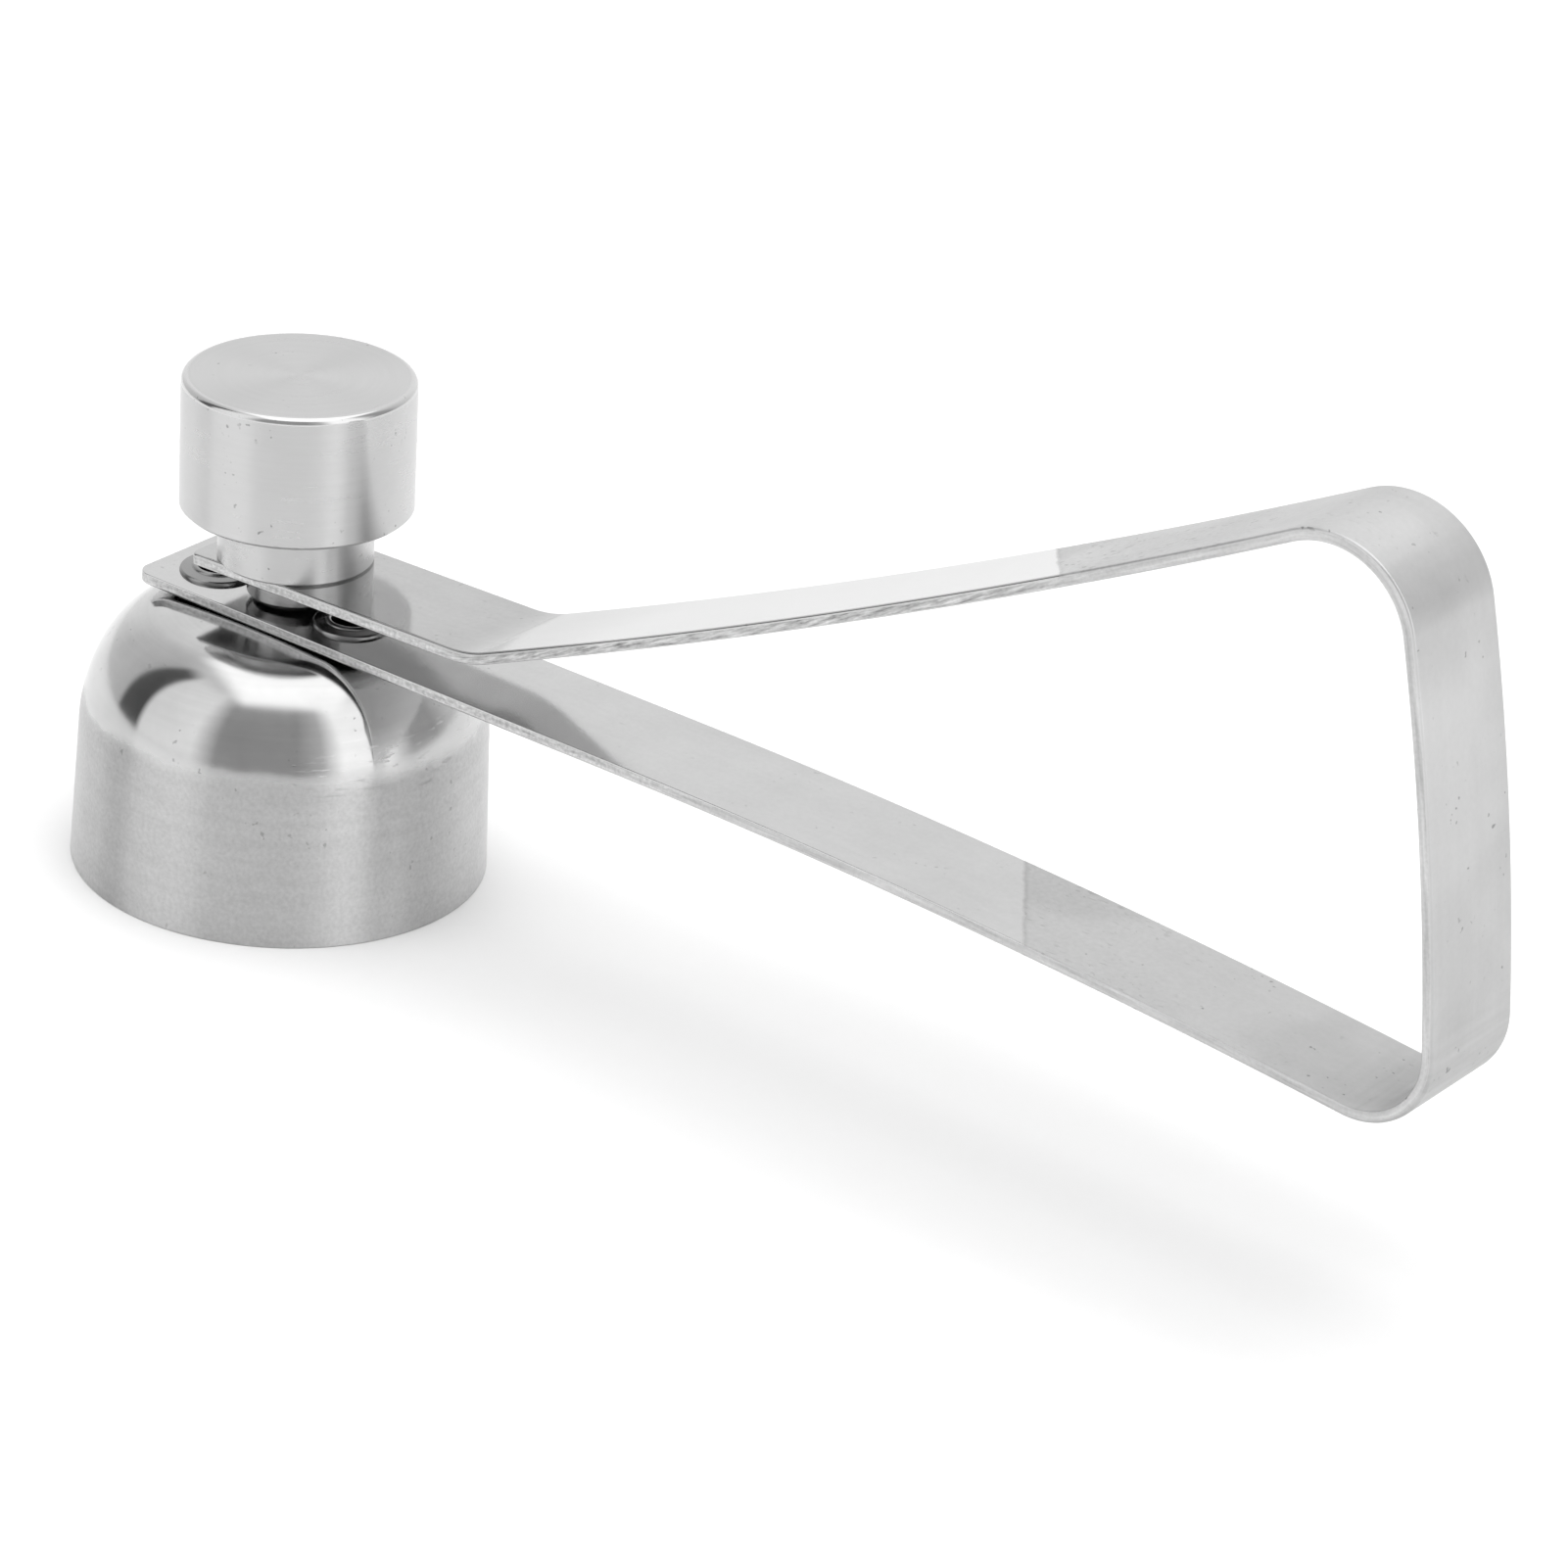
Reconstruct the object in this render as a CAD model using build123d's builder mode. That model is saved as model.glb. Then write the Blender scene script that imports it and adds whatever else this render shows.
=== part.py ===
from build123d import *
from math import copysign, cos, degrees, radians, sin
import os

# Egg cracker with a spring striker. Millimetres, +Z up.
# The origin is on the bell's axis in the plane of its rim, and +X points along the handle.
# One spring strip is riveted to the bell's crown, loops round as the handle and comes back
# over the bell, where its free end carries the striker weight.

# bell
RIM_RADIUS = 18.0
WALL_TOP_RADIUS = 17.6
WALL_HEIGHT = 11.8
CROWN_RADIUS = 9.8
CROWN_HEIGHT = 23.5
BELL_WALL = 1.8
RIM_BEVEL = 1.0
RIM_EDGE = 0.15

# spring strip: section, and where its lower end starts
STRIP_WIDTH = 11.3
STRIP_THICKNESS = 1.0
CROWN_END_CORNER = 1.4
FREE_END_CORNER = 0.5
CROWN_END_X = -12.6

# the strip's runs, in the order they follow one another, with a left turn positive
CROWN_LENGTH = 52.0
LOWER_ARM_RADIUS, LOWER_ARM_TURN = 703.0, -5.82
TOE_RADIUS, TOE_TURN = 6.2, 102.3
END_SIDE_RADIUS, END_SIDE_TURN = 236.0, 8.08
HEEL_RADIUS, HEEL_TURN = 7.6, 103.7
UPPER_ARM_RADIUS, UPPER_ARM_TURN = 848.0, -5.59
DROP_RADIUS, DROP_TURN = 11.0, -21.3
FREE_LENGTH = 28.2

# the strip is parted at the middle of its end side, where the striker's hinge stands
# for the bending of the spring
PART_GAP = 0.4

# tubular rivets, either side of the striker's foot
RIVET_MIDDLE_X = -0.1
RIVET_Y = -0.6
RIVET_SPACING = 15.0
RIVET_BORE_RADIUS = 1.7
RIVET_SHANK_RADIUS = 2.3
RIVET_FLANGE_RADIUS = 3.35
RIVET_FLANGE_HEIGHT = 0.6
RIVET_ROLL_RADIUS = 2.8
RIVET_ROLL_DROP = 0.15
RIVET_FIT = 0.05

# striker weight and its screw
STRIKER_FROM_END = 6.8
NECK_RADIUS = 6.65
NECK_HEIGHT = 4.7
KNOB_RADIUS = 9.95
KNOB_HEIGHT = 11.8
KNOB_TOP_ROUND = 0.6
KNOB_FOOT_CHAMFER = 0.3
NECK_CHAMFER = 0.2
FOOT_RADIUS = 4.1
FOOT_HEIGHT = 2.5
FOOT_CHAMFER = 0.5
SHANK_RADIUS = 2.0
SHANK_GRIP = 7.0
TAPPED_DEPTH = 8.0
SHANK_FIT = 0.05
SOCKET_ACROSS_FLATS = 2.5
SOCKET_DEPTH = 1.2

STRIP_TOP = CROWN_HEIGHT + STRIP_THICKNESS
STRIP_MIDDLE = CROWN_HEIGHT + STRIP_THICKNESS / 2
CROWN_UNDERSIDE = CROWN_HEIGHT - BELL_WALL
ROLL_TOP = CROWN_UNDERSIDE - RIVET_ROLL_DROP
RIVET_XS = [RIVET_MIDDLE_X - RIVET_SPACING / 2, RIVET_MIDDLE_X + RIVET_SPACING / 2]
GAP_TURN = degrees(PART_GAP / END_SIDE_RADIUS)
HALF_SIDE_TURN = (END_SIDE_TURN - GAP_TURN) / 2


def direction(heading):
    """The unit vector at a heading in degrees, counted from +X."""
    return Vector(cos(radians(heading)), sin(radians(heading)))


def straight(length):
    """A straight run of the strip."""
    return length, 0, 0


def bend(radius, turn):
    """A run of the strip that turns about a radius measured to its middle."""
    return 0, radius, turn


def draw_side(start, heading, runs, side):
    """Draw the line side mm to the left of the runs' centreline; return its last edge and heading."""
    point = Vector(*start) + direction(heading + 90) * side
    for length, radius, turn in runs:
        if turn:
            edge = JernArc(point, direction(heading), radius - copysign(side, side * turn), turn)
        else:
            edge = Line(point, point + direction(heading) * length)
        point = edge @ 1
        heading += turn
    return edge, heading


def draw_outline(start, heading, runs):
    """Draw the strip's outline seen from the side; return its middle and heading at the end."""
    left, _ = draw_side(start, heading, runs, STRIP_THICKNESS / 2)
    right, end_heading = draw_side(start, heading, runs, -STRIP_THICKNESS / 2)
    across = direction(heading + 90) * (STRIP_THICKNESS / 2)
    Line(Vector(*start) + across, Vector(*start) - across)
    Line(left @ 1, right @ 1)
    return (left @ 1 + right @ 1) / 2, end_heading


def left_end_corners(strip):
    """The two short edges at the strip's -X end."""
    across_strip = strip.edges().filter_by(lambda edge: abs(edge.length - STRIP_THICKNESS) < 0.001)
    return across_strip.sort_by(Axis.X)[:2]


# Bell: a drawn cup with a slightly tapered wall, an elliptical dome and a flat crown. The rim is
# bevelled from the inside, so that a narrow ring meets the eggshell.
with BuildPart() as bell:
    with BuildSketch(Plane.XZ):
        with BuildLine():
            Line((RIM_RADIUS, 0), (WALL_TOP_RADIUS, WALL_HEIGHT))
            EllipticalCenterArc(
                (CROWN_RADIUS, WALL_HEIGHT),
                WALL_TOP_RADIUS - CROWN_RADIUS,
                CROWN_HEIGHT - WALL_HEIGHT,
                start_angle=0,
                arc_size=90,
            )
            Polyline(
                (CROWN_RADIUS, CROWN_HEIGHT),
                (0, CROWN_HEIGHT),
                (0, CROWN_UNDERSIDE),
                (CROWN_RADIUS, CROWN_UNDERSIDE),
            )
            EllipticalCenterArc(
                (CROWN_RADIUS, WALL_HEIGHT),
                WALL_TOP_RADIUS - CROWN_RADIUS - BELL_WALL,
                CROWN_UNDERSIDE - WALL_HEIGHT,
                start_angle=0,
                arc_size=90,
            )
            Polyline(
                (WALL_TOP_RADIUS - BELL_WALL, WALL_HEIGHT),
                (RIM_RADIUS - BELL_WALL, 0),
                (RIM_RADIUS, 0),
            )
        make_face()
    revolve(axis=Axis.Z)
    rim_edges = bell.edges().group_by(Axis.Z)[0].filter_by(GeomType.CIRCLE).sort_by(SortBy.RADIUS)
    chamfer(rim_edges[0], RIM_BEVEL)
    fillet(rim_edges[-1], RIM_EDGE)
    with Locations(*[(x, RIVET_Y, CROWN_HEIGHT) for x in RIVET_XS]):
        Hole(RIVET_SHANK_RADIUS + RIVET_FIT, depth=2 * BELL_WALL)

# Lower half of the strip: the riveted end on the crown, the lower arm, the toe corner and the
# end side up to the parting.
lower_runs = [
    straight(CROWN_LENGTH),
    bend(LOWER_ARM_RADIUS, LOWER_ARM_TURN),
    bend(TOE_RADIUS, TOE_TURN),
    bend(END_SIDE_RADIUS, HALF_SIDE_TURN),
]
with BuildPart() as strip_lower:
    with BuildSketch(Plane.XZ):
        with BuildLine():
            lower_end, lower_heading = draw_outline((CROWN_END_X, STRIP_MIDDLE), 0, lower_runs)
        make_face()
    extrude(amount=STRIP_WIDTH / 2, both=True)
    fillet(left_end_corners(strip_lower), CROWN_END_CORNER)
    with Locations(*[(x, RIVET_Y, STRIP_TOP) for x in RIVET_XS]):
        Hole(RIVET_SHANK_RADIUS + RIVET_FIT, depth=2 * STRIP_THICKNESS)

# Upper half of the strip: the end side above the parting, the heel corner, the upper arm, the
# bend down to the bell and the free end with the striker.
across_gap = direction(lower_heading + GAP_TURN / 2) * PART_GAP
hinge_point = lower_end + across_gap / 2
upper_start = (lower_end.X + across_gap.X, lower_end.Y + across_gap.Y)
upper_heading = lower_heading + GAP_TURN
upper_runs = [
    bend(END_SIDE_RADIUS, HALF_SIDE_TURN),
    bend(HEEL_RADIUS, HEEL_TURN),
    bend(UPPER_ARM_RADIUS, UPPER_ARM_TURN),
    bend(DROP_RADIUS, DROP_TURN),
    straight(FREE_LENGTH),
]
with BuildPart() as strip_upper:
    with BuildSketch(Plane.XZ):
        with BuildLine():
            free_end, free_heading = draw_outline(upper_start, upper_heading, upper_runs)
        make_face()
    extrude(amount=STRIP_WIDTH / 2, both=True)
    fillet(left_end_corners(strip_upper), FREE_END_CORNER)
    striker_point = free_end - direction(free_heading) * STRIKER_FROM_END
    along_strip = -direction(free_heading)
    foot_seat = Plane(
        origin=(striker_point.X, 0, striker_point.Y),
        x_dir=(along_strip.X, 0, along_strip.Y),
        z_dir=(-along_strip.Y, 0, along_strip.X),
    ).offset(-STRIP_THICKNESS / 2)
    weight_seat = foot_seat.offset(STRIP_THICKNESS)
    with Locations(weight_seat):
        Hole(SHANK_RADIUS + SHANK_FIT, depth=2 * STRIP_THICKNESS)

# Two tubular rivets through the strip and the crown. Each is a tube whose upper end is rolled out
# to a domed flange on the strip and whose lower end is rolled over inside the bell.
with BuildPart() as tubular_rivets:
    for x in RIVET_XS:
        with BuildSketch(Plane((x, RIVET_Y, 0), x_dir=(1, 0, 0), z_dir=(0, -1, 0))):
            with BuildLine():
                EllipticalCenterArc(
                    ((RIVET_BORE_RADIUS + RIVET_FLANGE_RADIUS) / 2, STRIP_TOP),
                    (RIVET_FLANGE_RADIUS - RIVET_BORE_RADIUS) / 2,
                    RIVET_FLANGE_HEIGHT,
                    start_angle=0,
                    arc_size=180,
                )
                Polyline(
                    (RIVET_FLANGE_RADIUS, STRIP_TOP),
                    (RIVET_SHANK_RADIUS, STRIP_TOP),
                    (RIVET_SHANK_RADIUS, ROLL_TOP),
                    (RIVET_ROLL_RADIUS, ROLL_TOP),
                )
                EllipticalCenterArc(
                    ((RIVET_BORE_RADIUS + RIVET_ROLL_RADIUS) / 2, ROLL_TOP),
                    (RIVET_ROLL_RADIUS - RIVET_BORE_RADIUS) / 2,
                    RIVET_FLANGE_HEIGHT,
                    start_angle=180,
                    arc_size=180,
                )
                Line((RIVET_BORE_RADIUS, ROLL_TOP), (RIVET_BORE_RADIUS, STRIP_TOP))
            make_face()
        revolve(axis=Axis((x, RIVET_Y, 0), (0, 0, 1)))

# Striker weight: one turned piece, a knob on a neck that stands square on the strip's free end,
# with a tapped hole up from its seat.
with BuildPart() as striker_weight:
    with BuildSketch(weight_seat):
        Circle(NECK_RADIUS)
    extrude(amount=NECK_HEIGHT)
    chamfer(striker_weight.edges().group_by(Axis.Z)[0], NECK_CHAMFER)
    with BuildSketch(weight_seat.offset(NECK_HEIGHT)):
        Circle(KNOB_RADIUS)
    extrude(amount=KNOB_HEIGHT)
    rings = striker_weight.edges().filter_by(GeomType.CIRCLE)
    knob_rings = rings.group_by(SortBy.RADIUS)[-1].sort_by(Axis.Z)
    chamfer(knob_rings[0], KNOB_FOOT_CHAMFER)
    fillet(knob_rings[-1], KNOB_TOP_ROUND)
    with Locations(-weight_seat):
        Hole(SHANK_RADIUS + SHANK_FIT, depth=TAPPED_DEPTH)

# Striker screw: a plain shank for the threaded one, and a round head under the strip that is the
# striker's foot, with a hexagon socket in its striking face.
with BuildPart() as striker_screw:
    with BuildSketch(foot_seat):
        Circle(SHANK_RADIUS)
    extrude(amount=STRIP_THICKNESS + SHANK_GRIP)
    with BuildSketch(foot_seat):
        Circle(FOOT_RADIUS)
    extrude(amount=-FOOT_HEIGHT)
    chamfer(striker_screw.edges().group_by(Axis.Z)[0], FOOT_CHAMFER)
    with BuildSketch(foot_seat.offset(-FOOT_HEIGHT)):
        RegularPolygon(SOCKET_ACROSS_FLATS / 2, side_count=6, major_radius=False)
    extrude(amount=SOCKET_DEPTH, mode=Mode.SUBTRACT)

print(f"striker hinge: x {hinge_point.X:.3f}, z {hinge_point.Y:.3f}")

os.makedirs("parts", exist_ok=True)
bell.part.label = "bell"
strip_lower.part.label = "strip_lower"
strip_upper.part.label = "strip_upper"
tubular_rivets.part.label = "tubular_rivets"
striker_weight.part.label = "striker_weight"
striker_screw.part.label = "striker_screw"
for piece in (bell, strip_lower, strip_upper, tubular_rivets, striker_weight, striker_screw):
    export_step(piece.part, f"parts/{piece.part.label}.step")
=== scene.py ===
from math import cos, pi, radians, sin, sqrt, tan

import bmesh
import bpy
from mathutils import Matrix, Vector


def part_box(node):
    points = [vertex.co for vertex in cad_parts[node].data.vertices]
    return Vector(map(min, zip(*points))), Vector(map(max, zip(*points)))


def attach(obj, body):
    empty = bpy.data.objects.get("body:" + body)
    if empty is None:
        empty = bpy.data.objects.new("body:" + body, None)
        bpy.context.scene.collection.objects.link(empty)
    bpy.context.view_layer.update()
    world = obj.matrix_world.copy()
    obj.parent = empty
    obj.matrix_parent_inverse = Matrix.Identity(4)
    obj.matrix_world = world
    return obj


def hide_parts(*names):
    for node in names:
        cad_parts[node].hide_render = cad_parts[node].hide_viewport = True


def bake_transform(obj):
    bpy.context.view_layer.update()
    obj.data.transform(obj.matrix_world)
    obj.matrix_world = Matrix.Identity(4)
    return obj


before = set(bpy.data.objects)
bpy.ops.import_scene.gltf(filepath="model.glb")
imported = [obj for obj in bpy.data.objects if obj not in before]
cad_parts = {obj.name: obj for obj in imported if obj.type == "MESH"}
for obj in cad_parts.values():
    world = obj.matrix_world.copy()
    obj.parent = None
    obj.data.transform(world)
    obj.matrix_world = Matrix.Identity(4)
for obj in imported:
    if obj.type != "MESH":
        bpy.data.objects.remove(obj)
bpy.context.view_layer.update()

# A spring striker egg topper in stainless steel, standing on its bell on a pale floor.
# Lengths are metres and angles degrees. Places come from the frame, and the bends of the strip
# and the sizes of the turned pieces repeat the CAD model's.

MM = 0.001

# ---------------------------------------------------------------- sizes

bell_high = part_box("bell")[1]
handle_low, handle_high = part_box("strip_lower")
weight_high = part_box("striker_weight")[1]

RIM_RADIUS = 18.0 * MM
WALL_TOP_RADIUS = 17.6 * MM
WALL_HEIGHT = 11.8 * MM
CROWN_RADIUS = 9.8 * MM
CROWN_HEIGHT = bell_high.z
BELL_WALL = 1.8 * MM
CROWN_UNDERSIDE = CROWN_HEIGHT - BELL_WALL
RIM_BEVEL = 1.0 * MM
RIM_EDGE = 0.15 * MM
# how far the wall's taper carries its inside in over the height of the rim's bevel
BEVEL_TAPER = 0.03 * MM
# The dome stops just short of level, and the crown carries its slope on to the middle, so that a
# dark gap shows under the strip's edges.
DOME_END = 88.3
DOME_STEPS = 90
CROWN_STEPS = 24

STRIP_HALF_WIDTH = handle_high.y
STRIP_THICKNESS = 1.0 * MM
STRIP_TOP = CROWN_HEIGHT + STRIP_THICKNESS
STRIP_MIDDLE = CROWN_HEIGHT + STRIP_THICKNESS / 2
BURR_EDGE = 0.07 * MM
ROLLED_EDGE = 0.22 * MM
CROWN_END_CORNER = 1.4 * MM
FREE_END_CORNER = 0.5 * MM

CROWN_LENGTH = 52.0 * MM
LOWER_ARM_RADIUS, LOWER_ARM_TURN = 703.0 * MM, -5.82
TOE_RADIUS, TOE_TURN = 6.2 * MM, 102.3
END_SIDE_RADIUS, END_SIDE_TURN = 236.0 * MM, 8.08
HEEL_RADIUS, HEEL_TURN = 7.6 * MM, 103.7
UPPER_ARM_RADIUS, UPPER_ARM_TURN = 848.0 * MM, -5.59
DROP_RADIUS, DROP_TURN = 11.0 * MM, -21.3
FREE_LENGTH = 28.2 * MM

STRIKER_FROM_END = 6.8 * MM
NECK_RADIUS = 6.65 * MM
NECK_HEIGHT = 4.7 * MM
NECK_CHAMFER = 0.2 * MM
KNOB_RADIUS = weight_high.y
KNOB_HEIGHT = 11.8 * MM
KNOB_TOP = NECK_HEIGHT + KNOB_HEIGHT
KNOB_TOP_ROUND = 0.6 * MM
KNOB_FOOT_CHAMFER = 0.3 * MM
FOOT_RADIUS = 4.1 * MM
FOOT_HEIGHT = 2.5 * MM
FOOT_CHAMFER = 0.5 * MM
SHANK_RADIUS = 2.0 * MM
SHANK_GRIP = 7.0 * MM
SHANK_FIT = 0.05 * MM
SHANK_END = FOOT_HEIGHT + STRIP_THICKNESS + SHANK_GRIP
BORE_RADIUS = SHANK_RADIUS + SHANK_FIT
TAPPED_DEPTH = 8.0 * MM
SOCKET_ACROSS_FLATS = 2.5 * MM
SOCKET_REACH = SOCKET_ACROSS_FLATS / 2
SOCKET_DEPTH = 1.2 * MM

RIVET_MIDDLE_X = -0.1 * MM
RIVET_Y = -0.6 * MM
RIVET_SPACING = 15.0 * MM
RIVET_XS = (RIVET_MIDDLE_X - RIVET_SPACING / 2, RIVET_MIDDLE_X + RIVET_SPACING / 2)
RIVET_BORE_RADIUS = 1.7 * MM
RIVET_SHANK_RADIUS = 2.3 * MM
RIVET_FIT = 0.05 * MM
RIVET_HOLE_RADIUS = RIVET_SHANK_RADIUS + RIVET_FIT
RIVET_FLANGE_RADIUS = 3.35 * MM
RIVET_FLANGE_HEIGHT = 0.6 * MM
FLANGE_EDGE_HEIGHT = 0.32 * MM
FLANGE_EDGE_REACH = 0.6 * FLANGE_EDGE_HEIGHT
LIP_RADIUS = 0.30 * MM
RIVET_ROLL_RADIUS = 2.8 * MM
RIVET_ROLL_DROP = 0.15 * MM

# how finely curves are divided
ROUND_SEGMENTS = 256
RIVET_SEGMENTS = 128
HOLE_SEGMENTS = 64
STRIP_STEP = 1.0 * MM
BEND_STEP = 2.0
EDGE_STEPS = 4
CORNER_STEPS = 12
# edges whose faces turn by more than this are kept sharp
SHARP_ANGLE = 40
# a support point's distance from the edge that it keeps crisp, and the distance within which
# points count as one
SUPPORT = 0.03 * MM
WELD = 1e-7

# ---------------------------------------------------------------- finishes

MAP_NAME = "surface"
# brushed steel stretches its highlights across its scratches, a quarter turn from the map
BRUSH_TURN = 0.25
LINE_STRETCH = 0.05
PIT_DEPTH = -5e-6

# the bell is polished above the first height and brushed below the second
POLISH_FROM = 16.2 * MM
BRUSHED_BELOW = 14.2 * MM

# the strip's finish changes along a slanted line, this far out in x at the strip's middle
DULL_FROM = 76.5 * MM
DULL_SLANT = 0.7
ROUGH_PATCH_LENGTH = 34.0 * MM

# Stretches of the strip, by distance from its end on the crown: where each begins, is full, stays
# full to, and ends.
TOE_MARKS = (118.0 * MM, 128.0 * MM, 130.0 * MM, 140.0 * MM)
HEEL_MARKS = (162.0 * MM, 172.0 * MM, 178.0 * MM, 188.0 * MM)
# painted light, which lightens the strip along its end side and heel
PAINTED_LIGHT_STRETCH = (148.0 * MM, 164.0 * MM, 173.0 * MM, 183.0 * MM)
TORN_FROM = 195.0 * MM
FREE_END_FROM = 268.0 * MM

# ---------------------------------------------------------------- node helpers


class Shader:
    """A node tree with short calls: every call adds one node and returns the socket it gives."""

    def __init__(self, tree):
        self.tree = tree
        self.tree.nodes.clear()

    def node(self, kind, inputs=None, **settings):
        made = self.tree.nodes.new(kind)
        for key, value in settings.items():
            setattr(made, key, value)
        for key, value in (inputs or {}).items():
            self.put(made.inputs[key], value)
        return made

    def put(self, socket, value):
        if isinstance(value, bpy.types.NodeSocket):
            self.tree.links.new(value, socket)
        else:
            socket.default_value = value

    def math(self, operation, first, second=0.0, third=0.0):
        made = self.node("ShaderNodeMath", {0: first, 1: second, 2: third}, operation=operation)
        return made.outputs[0]

    def smooth(self, value, low, high, to_low=0.0, to_high=1.0):
        inputs = {"Value": value, "From Min": low, "From Max": high, "To Min": to_low, "To Max": to_high}
        made = self.node("ShaderNodeMapRange", inputs, interpolation_type="SMOOTHSTEP")
        return made.outputs["Result"]

    def mix(self, factor, first, second):
        made = self.node("ShaderNodeMix", {"Factor": factor, "A": first, "B": second}, data_type="FLOAT")
        return made.outputs[0]

    def split(self, vector):
        return self.node("ShaderNodeSeparateXYZ", {0: vector}).outputs

    def vector(self, x, y, z=0.0):
        return self.node("ShaderNodeCombineXYZ", {"X": x, "Y": y, "Z": z}).outputs[0]

    def noise(self, where, scale, detail=2.0, roughness=0.5):
        inputs = {"Vector": where, "Scale": scale, "Detail": detail, "Roughness": roughness}
        return self.node("ShaderNodeTexNoise", inputs).outputs["Fac"]

    def grey(self, value):
        return self.node("ShaderNodeCombineColor", {"Red": value, "Green": value, "Blue": value}).outputs[0]

    def bump(self, height, distance, after=None):
        inputs = {"Height": height, "Distance": distance, "Strength": 1.0}
        if after is not None:
            inputs["Normal"] = after
        return self.node("ShaderNodeBump", inputs).outputs["Normal"]

    def body_place(self):
        """The piece's own coordinates, in metres."""
        return self.node("ShaderNodeTexCoord").outputs["Object"]

    def map_place(self):
        """The piece's map, in metres: along the strip or round a turned piece, then across."""
        return self.node("ShaderNodeUVMap", uv_map=MAP_NAME).outputs[0]


def new_material(name):
    material = bpy.data.materials.new(name)
    material.use_nodes = True
    return material, Shader(material.node_tree)


def add(s, *values):
    """The sum of any number of values."""
    total = values[0]
    for value in values[1:]:
        total = s.math("ADD", total, value)
    return total


def times(s, *values):
    """The product of any number of values."""
    total = values[0]
    for value in values[1:]:
        total = s.math("MULTIPLY", total, value)
    return total


def add_share(s, base, value, share):
    """The base with a share of the value added to it."""
    return s.math("MULTIPLY_ADD", value, share, base)


def around_zero(s, value, reach):
    """A texture from 0 to 1, as an offset of up to reach either way."""
    return times(s, s.math("SUBTRACT", value, 0.5), 2 * reach)


def within(s, value, begins, full_from, full_to, ends):
    """1 between the middle limits, falling smoothly to 0 at the outer ones."""
    return times(s, s.smooth(value, begins, full_from), s.smooth(value, ends, full_to))


def darkened(s, colour, mask, loss):
    """The colour less a share of itself where the mask is 1."""
    return times(s, colour, add_share(s, 1.0, mask, -loss))


def pits(s, place, size, share):
    """Sparse dark specks, of which share says how much of the surface may carry them."""
    speck = s.smooth(s.noise(place, size, 1.0), 0.69, 0.75)
    return times(s, speck, s.smooth(s.noise(place, 260.0, 1.0), 0.62 - share, 0.78 - share))


def scratch_lines(s, scale):
    """Fine parallel lines that run along the map's first axis."""
    along, across, _ = s.split(s.map_place())
    return s.noise(s.vector(times(s, along, LINE_STRETCH), across), scale, 3.0, 0.6)


def steel_surface(s, colour, roughness, normal, anisotropy=0.0):
    """The steel's own shader, with its scratches running along the piece's map where it is brushed."""
    steel = s.node("ShaderNodeBsdfPrincipled")
    s.put(steel.inputs["Base Color"], s.grey(colour))
    steel.inputs["Metallic"].default_value = 1.0
    s.put(steel.inputs["Roughness"], roughness)
    s.put(steel.inputs["Normal"], normal)
    if anisotropy:
        steel.inputs["Anisotropic"].default_value = anisotropy
        steel.inputs["Anisotropic Rotation"].default_value = BRUSH_TURN
        tangent = s.node("ShaderNodeTangent", direction_type="UV_MAP", uv_map=MAP_NAME)
        s.put(steel.inputs["Tangent"], tangent.outputs[0])
    output = s.node("ShaderNodeOutputMaterial")
    s.put(output.inputs["Surface"], steel.outputs[0])


# ---------------------------------------------------------------- materials


def brushed_steel(name, base, rough, anisotropy, lines, relief, cloud=0.04, pit_share=0.1):
    """Steel with fine scratches along the map's first axis, cloudy patches and a few pits."""
    material, s = new_material(name)
    place = s.body_place()
    scratch = scratch_lines(s, lines)
    clouds = s.noise(place, 170.0, 4.0, 0.6)
    pit = pits(s, place, 1900.0, pit_share)
    colour = add(s, base, around_zero(s, clouds, cloud), around_zero(s, scratch, 0.04))
    colour = darkened(s, colour, pit, 0.5)
    roughness = add(s, rough, around_zero(s, scratch, 0.06), around_zero(s, clouds, 0.06))
    normal = s.bump(pit, PIT_DEPTH, s.bump(scratch, relief))
    steel_surface(s, colour, roughness, normal, anisotropy)
    return material


def polished_steel(name, base, rough):
    """Plain bright steel with a faint unevenness and a few specks."""
    material, s = new_material(name)
    place = s.body_place()
    clouds = s.noise(place, 160.0, 3.0)
    speck = pits(s, place, 2200.0, 0.1)
    colour = darkened(s, add(s, base, around_zero(s, clouds, 0.04)), speck, 0.4)
    roughness = add(s, rough, around_zero(s, clouds, 0.05))
    steel_surface(s, colour, roughness, s.bump(s.noise(place, 700.0, 2.0), 3e-7))
    return material


def worn_scuffs(s, x, height):
    """Short bright rub marks below the handle, in the band of the bell where the polish ends."""
    along, across, _ = s.split(s.map_place())
    stroke = s.noise(s.vector(times(s, along, 0.25), across), 2600.0, 2.0)
    stroke = s.smooth(stroke, 0.56, 0.66)
    patch = s.smooth(s.noise(s.body_place(), 190.0, 2.0), 0.42, 0.56)
    band = within(s, height, 12.5 * MM, 14.5 * MM, 16.5 * MM, 19.0 * MM)
    under_handle = s.smooth(x, 11.0 * MM, 15.0 * MM)
    return times(s, stroke, patch, band, under_handle)


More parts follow.
